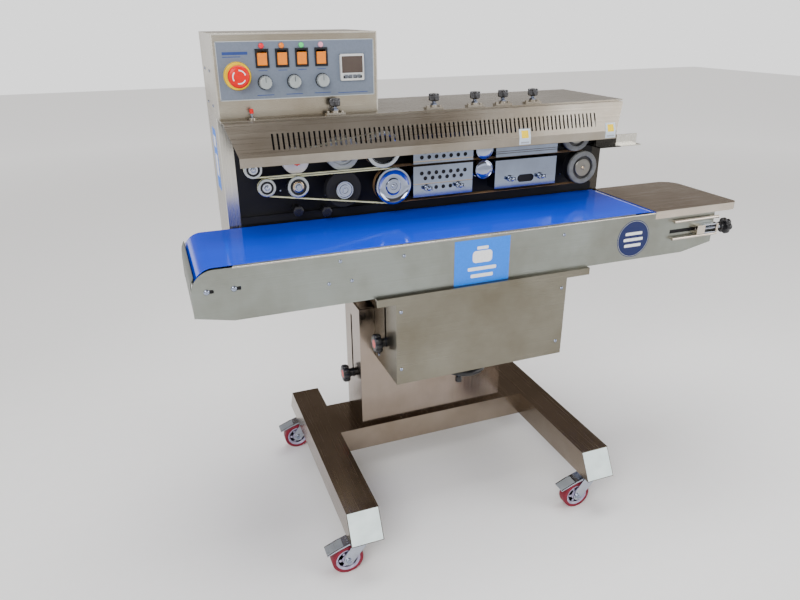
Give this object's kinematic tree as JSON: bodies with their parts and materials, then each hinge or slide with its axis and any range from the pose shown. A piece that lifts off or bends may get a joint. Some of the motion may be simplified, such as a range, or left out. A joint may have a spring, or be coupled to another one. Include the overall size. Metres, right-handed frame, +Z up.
{
  "type": "continuous band sealer",
  "caption": "Floor-standing band sealer with belt conveyor: bags ride on the belt while heated bands close their tops; head and conveyor height adjust on a wheeled stand.",
  "frame": {"origin": "on the floor, under the middle of the whole machine's box", "axes": "+Z up, X along the conveyor towards the end plate, -Y towards the operator"},
  "size_m": [1.45, 0.695, 1.18],
  "materials": {
    "frame_steel": "brushed stainless sheet",
    "column_steel": "polished stainless sheet",
    "head_steel": "brushed stainless sheet",
    "guard_steel": "brushed stainless sheet",
    "panel_steel": "brushed stainless sheet",
    "box_steel": "brushed stainless sheet",
    "zinc": "zinc plated",
    "castor_tyre": "polyurethane",
    "black_plate": "satin black",
    "chrome": "polished",
    "block_steel": "polished block",
    "grey_wheel": "turned",
    "black_rubber": "matt",
    "white_wheel": "smooth",
    "black_knob": "moulded",
    "blue_belt": "glossy PVC",
    "band": "coated fabric",
    "motor_paint": "hammered",
    "box_skin": "brushed stainless sheet",
    "overlay": "printed film",
    "stop_red": "moulded",
    "rocker_orange": "translucent",
    "dial_grey": "knurled",
    "red_tip": "moulded"
  },
  "bodies": {
    "base": {"foot_frame": "frame_steel", "column": "column_steel", "caster_plates": "zinc"},
    "mast": {"mast": "column_steel", "head_case": "head_steel", "mechanism_plate": "black_plate", "corner_posts": "head_steel", "top_plate": "head_steel", "guard": "guard_steel", "drive_motor": "motor_paint", "lower_blocks": "block_steel", "upper_blocks": "block_steel", "bands": "band", "control_box": "box_skin", "control_panel": "overlay"},
    "carriage": {"carriage_box": "box_steel", "front_panel": "panel_steel", "rear_panel": "panel_steel", "conveyor_belt": "blue_belt", "end_plate": "frame_steel"},
    "caster_fork_front_left": {"caster_fork_front_left": "zinc"},
    "caster_wheel_front_left": {"caster_wheel_front_left": "castor_tyre"},
    "caster_fork_front_right": {"caster_fork_front_right": "zinc"},
    "caster_wheel_front_right": {"caster_wheel_front_right": "castor_tyre"},
    "caster_fork_rear_left": {"caster_fork_rear_left": "zinc"},
    "caster_wheel_rear_left": {"caster_wheel_rear_left": "castor_tyre"},
    "caster_fork_rear_right": {"caster_fork_rear_right": "zinc"},
    "caster_wheel_rear_right": {"caster_wheel_rear_right": "castor_tyre"},
    "handwheel": {"handwheel": "black_knob"},
    "mast_lock_knob": {"mast_lock_knob": "black_knob"},
    "conveyor_lock_knob": {"conveyor_lock_knob": "black_knob"},
    "drive_roller": {"drive_roller": "grey_wheel"},
    "idler_roller": {"idler_roller": "grey_wheel"},
    "tension_knob": {"tension_knob": "black_knob"},
    "band_wheel_lower": {"band_wheel_lower": "chrome"},
    "band_wheel_upper": {"band_wheel_upper": "chrome"},
    "end_wheel_lower": {"end_wheel_lower": "grey_wheel"},
    "end_wheel_upper": {"end_wheel_upper": "grey_wheel"},
    "press_wheel_lower": {"press_wheel_lower": "chrome"},
    "press_wheel_upper": {"press_wheel_upper": "chrome"},
    "rubber_roller": {"rubber_roller": "black_rubber"},
    "counter_roller": {"counter_roller": "grey_wheel"},
    "feed_roller_lower": {"feed_roller_lower": "grey_wheel"},
    "feed_roller_upper": {"feed_roller_upper": "white_wheel"},
    "guide_pulley_lower": {"guide_pulley_lower": "grey_wheel"},
    "guide_pulley_upper": {"guide_pulley_upper": "grey_wheel"},
    "emergency_stop": {"emergency_stop": "stop_red"},
    "rocker_1": {"rocker_1": "rocker_orange"},
    "rocker_2": {"rocker_2": "rocker_orange"},
    "rocker_3": {"rocker_3": "rocker_orange"},
    "rocker_4": {"rocker_4": "rocker_orange"},
    "dial_1": {"dial_1": "dial_grey"},
    "dial_2": {"dial_2": "dial_grey"},
    "dial_3": {"dial_3": "dial_grey"},
    "pressure_knob_1": {"pressure_knob_1": "black_knob"},
    "pressure_knob_2": {"pressure_knob_2": "black_knob"},
    "pressure_knob_3": {"pressure_knob_3": "black_knob"},
    "pressure_knob_4": {"pressure_knob_4": "black_knob"},
    "pressure_knob_5": {"pressure_knob_5": "black_knob"},
    "shift_lever": {"shift_lever": "red_tip"}
  },
  "joints": [
    {"name": "caster_swivel_front_left", "type": "hinge", "parent": "base", "child": "caster_fork_front_left", "pos_m": [-0.4265, -0.295, 0.094], "axis": [0, 0, 1], "continuous": true},
    {"name": "caster_roll_front_left", "type": "hinge", "parent": "caster_fork_front_left", "child": "caster_wheel_front_left", "pos_m": [-0.4645, -0.295, 0.038], "axis": [0, 1, 0], "continuous": true},
    {"name": "caster_swivel_front_right", "type": "hinge", "parent": "base", "child": "caster_fork_front_right", "pos_m": [0.2055, -0.295, 0.094], "axis": [0, 0, 1], "continuous": true},
    {"name": "caster_roll_front_right", "type": "hinge", "parent": "caster_fork_front_right", "child": "caster_wheel_front_right", "pos_m": [0.1675, -0.295, 0.038], "axis": [0, 1, 0], "continuous": true},
    {"name": "caster_swivel_rear_left", "type": "hinge", "parent": "base", "child": "caster_fork_rear_left", "pos_m": [-0.4265, 0.24, 0.094], "axis": [0, 0, 1], "continuous": true},
    {"name": "caster_roll_rear_left", "type": "hinge", "parent": "caster_fork_rear_left", "child": "caster_wheel_rear_left", "pos_m": [-0.4645, 0.24, 0.038], "axis": [0, 1, 0], "continuous": true},
    {"name": "caster_swivel_rear_right", "type": "hinge", "parent": "base", "child": "caster_fork_rear_right", "pos_m": [0.2055, 0.24, 0.094], "axis": [0, 0, 1], "continuous": true},
    {"name": "caster_roll_rear_right", "type": "hinge", "parent": "caster_fork_rear_right", "child": "caster_wheel_rear_right", "pos_m": [0.1675, 0.24, 0.038], "axis": [0, 1, 0], "continuous": true},
    {"name": "head_lift", "type": "slide", "parent": "base", "child": "mast", "axis": [0, 0, 1], "range_m": [0, 0.17]},
    {"name": "conveyor_lift", "type": "slide", "parent": "mast", "child": "carriage", "axis": [0, 0, 1], "range_m": [-0.06, 0]},
    {"name": "handwheel_turn", "type": "hinge", "parent": "carriage", "child": "handwheel", "pos_m": [-0.06, -0.0625, 0.355], "axis": [0, 0, 1], "range_deg": [-1800, 0]},
    {"name": "mast_lock_turn", "type": "hinge", "parent": "mast", "child": "mast_lock_knob", "pos_m": [-0.335, 0.0915, 0.303], "axis": [1, 0, 0], "range_deg": [-180, 0]},
    {"name": "conveyor_lock_turn", "type": "hinge", "parent": "mast", "child": "conveyor_lock_knob", "pos_m": [-0.295, -0.0655, 0.462], "axis": [1, 0, 0], "range_deg": [-180, 0]},
    {"name": "drive_roller_turn", "type": "hinge", "parent": "carriage", "child": "drive_roller", "pos_m": [0.42756, -0.005, 0.6957], "axis": [0, 1, 0], "continuous": true},
    {"name": "idler_roller_turn", "type": "hinge", "parent": "carriage", "child": "idler_roller", "pos_m": [-0.6747, -0.005, 0.6957], "axis": [0, 1, 0], "continuous": true},
    {"name": "tension_knob_turn", "type": "hinge", "parent": "carriage", "child": "tension_knob", "pos_m": [0.676, -0.1465, 0.6777], "axis": [1, 0, 0], "range_deg": [-360, 360]},
    {"name": "band_wheel_lower_turn", "type": "hinge", "parent": "mast", "child": "band_wheel_lower", "pos_m": [-0.204, 0.1, 0.821], "axis": [0, 1, 0], "continuous": true},
    {"name": "band_wheel_upper_turn", "type": "hinge", "parent": "mast", "child": "band_wheel_upper", "pos_m": [-0.229, 0.1, 0.914], "axis": [0, 1, 0], "continuous": true},
    {"name": "end_wheel_lower_turn", "type": "hinge", "parent": "mast", "child": "end_wheel_lower", "pos_m": [0.353, 0.1, 0.822], "axis": [0, 1, 0], "continuous": true},
    {"name": "end_wheel_upper_turn", "type": "hinge", "parent": "mast", "child": "end_wheel_upper", "pos_m": [0.325, 0.1, 0.913], "axis": [0, 1, 0], "continuous": true},
    {"name": "press_wheel_lower_turn", "type": "hinge", "parent": "mast", "child": "press_wheel_lower", "pos_m": [0.047, 0.1, 0.842], "axis": [0, 1, 0], "continuous": true},
    {"name": "press_wheel_upper_turn", "type": "hinge", "parent": "mast", "child": "press_wheel_upper", "pos_m": [0.047, 0.1, 0.894], "axis": [0, 1, 0], "continuous": true},
    {"name": "rubber_roller_turn", "type": "hinge", "parent": "mast", "child": "rubber_roller", "pos_m": [-0.33, 0.1, 0.8225], "axis": [0, 1, 0], "continuous": true},
    {"name": "counter_roller_turn", "type": "hinge", "parent": "mast", "child": "counter_roller", "pos_m": [-0.329, 0.1, 0.9105], "axis": [0, 1, 0], "continuous": true},
    {"name": "feed_roller_lower_turn", "type": "hinge", "parent": "mast", "child": "feed_roller_lower", "pos_m": [-0.444, 0.1, 0.841], "axis": [0, 1, 0], "continuous": true},
    {"name": "feed_roller_upper_turn", "type": "hinge", "parent": "mast", "child": "feed_roller_upper", "pos_m": [-0.444, 0.1, 0.9005], "axis": [0, 1, 0], "continuous": true},
    {"name": "guide_pulley_lower_turn", "type": "hinge", "parent": "mast", "child": "guide_pulley_lower", "pos_m": [-0.518, 0.1, 0.8455], "axis": [0, 1, 0], "continuous": true},
    {"name": "guide_pulley_upper_turn", "type": "hinge", "parent": "mast", "child": "guide_pulley_upper", "pos_m": [-0.546, 0.1, 0.89], "axis": [0, 1, 0], "continuous": true},
    {"name": "emergency_stop_push", "type": "slide", "parent": "mast", "child": "emergency_stop", "axis": [0, 1, 0], "range_m": [0, 0.004]},
    {"name": "rocker_1_tilt", "type": "hinge", "parent": "mast", "child": "rocker_1", "pos_m": [-0.499, 0.1045, 1.1275], "axis": [1, 0, 0], "range_deg": [-16, 0]},
    {"name": "rocker_2_tilt", "type": "hinge", "parent": "mast", "child": "rocker_2", "pos_m": [-0.4543, 0.1045, 1.1275], "axis": [1, 0, 0], "range_deg": [-16, 0]},
    {"name": "rocker_3_tilt", "type": "hinge", "parent": "mast", "child": "rocker_3", "pos_m": [-0.4096, 0.1045, 1.1275], "axis": [1, 0, 0], "range_deg": [-16, 0]},
    {"name": "rocker_4_tilt", "type": "hinge", "parent": "mast", "child": "rocker_4", "pos_m": [-0.3649, 0.1045, 1.1275], "axis": [1, 0, 0], "range_deg": [-16, 0]},
    {"name": "dial_1_turn", "type": "hinge", "parent": "mast", "child": "dial_1", "pos_m": [-0.497, 0.09, 1.0765], "axis": [0, 1, 0], "range_deg": [-150, 150]},
    {"name": "dial_2_turn", "type": "hinge", "parent": "mast", "child": "dial_2", "pos_m": [-0.431, 0.09, 1.0765], "axis": [0, 1, 0], "range_deg": [-150, 150]},
    {"name": "dial_3_turn", "type": "hinge", "parent": "mast", "child": "dial_3", "pos_m": [-0.365, 0.09, 1.0765], "axis": [0, 1, 0], "range_deg": [-150, 150]},
    {"name": "pressure_knob_1_turn", "type": "hinge", "parent": "mast", "child": "pressure_knob_1", "pos_m": [-0.342, 0.0805, 1.028], "axis": [0, 0, 1], "range_deg": [-360, 360]},
    {"name": "pressure_knob_2_turn", "type": "hinge", "parent": "mast", "child": "pressure_knob_2", "pos_m": [-0.091, 0.0805, 1.028], "axis": [0, 0, 1], "range_deg": [-360, 360]},
    {"name": "pressure_knob_3_turn", "type": "hinge", "parent": "mast", "child": "pressure_knob_3", "pos_m": [0.021, 0.0805, 1.028], "axis": [0, 0, 1], "range_deg": [-360, 360]},
    {"name": "pressure_knob_4_turn", "type": "hinge", "parent": "mast", "child": "pressure_knob_4", "pos_m": [0.1, 0.0805, 1.028], "axis": [0, 0, 1], "range_deg": [-360, 360]},
    {"name": "pressure_knob_5_turn", "type": "hinge", "parent": "mast", "child": "pressure_knob_5", "pos_m": [0.187, 0.0805, 1.028], "axis": [0, 0, 1], "range_deg": [-360, 360]},
    {"name": "shift_lever_swing", "type": "hinge", "parent": "mast", "child": "shift_lever", "pos_m": [-0.535, 0.0805, 1.001], "axis": [0, 1, 0], "range_deg": [-20, 20]}
  ],
  "couplings": [
    {"joint": "handwheel_turn", "follows": "conveyor_lift", "rad_per_m": 523.5},
    {"joint": "idler_roller_turn", "follows": "drive_roller_turn", "ratio": 1},
    {"joint": "band_wheel_upper_turn", "follows": "band_wheel_lower_turn", "ratio": -1.0222},
    {"joint": "end_wheel_lower_turn", "follows": "band_wheel_lower_turn", "ratio": 1.0222},
    {"joint": "end_wheel_upper_turn", "follows": "band_wheel_lower_turn", "ratio": -1.0455},
    {"joint": "press_wheel_lower_turn", "follows": "band_wheel_lower_turn", "ratio": 1.84},
    {"joint": "press_wheel_upper_turn", "follows": "band_wheel_lower_turn", "ratio": -1.84},
    {"joint": "rubber_roller_turn", "follows": "band_wheel_lower_turn", "ratio": 1.0337},
    {"joint": "counter_roller_turn", "follows": "band_wheel_lower_turn", "ratio": -1.1084},
    {"joint": "feed_roller_lower_turn", "follows": "band_wheel_lower_turn", "ratio": 1.7692},
    {"joint": "feed_roller_upper_turn", "follows": "band_wheel_lower_turn", "ratio": -1.4603},
    {"joint": "guide_pulley_lower_turn", "follows": "band_wheel_lower_turn", "ratio": 2.1395},
    {"joint": "guide_pulley_upper_turn", "follows": "band_wheel_lower_turn", "ratio": -2.1905}
  ]
}
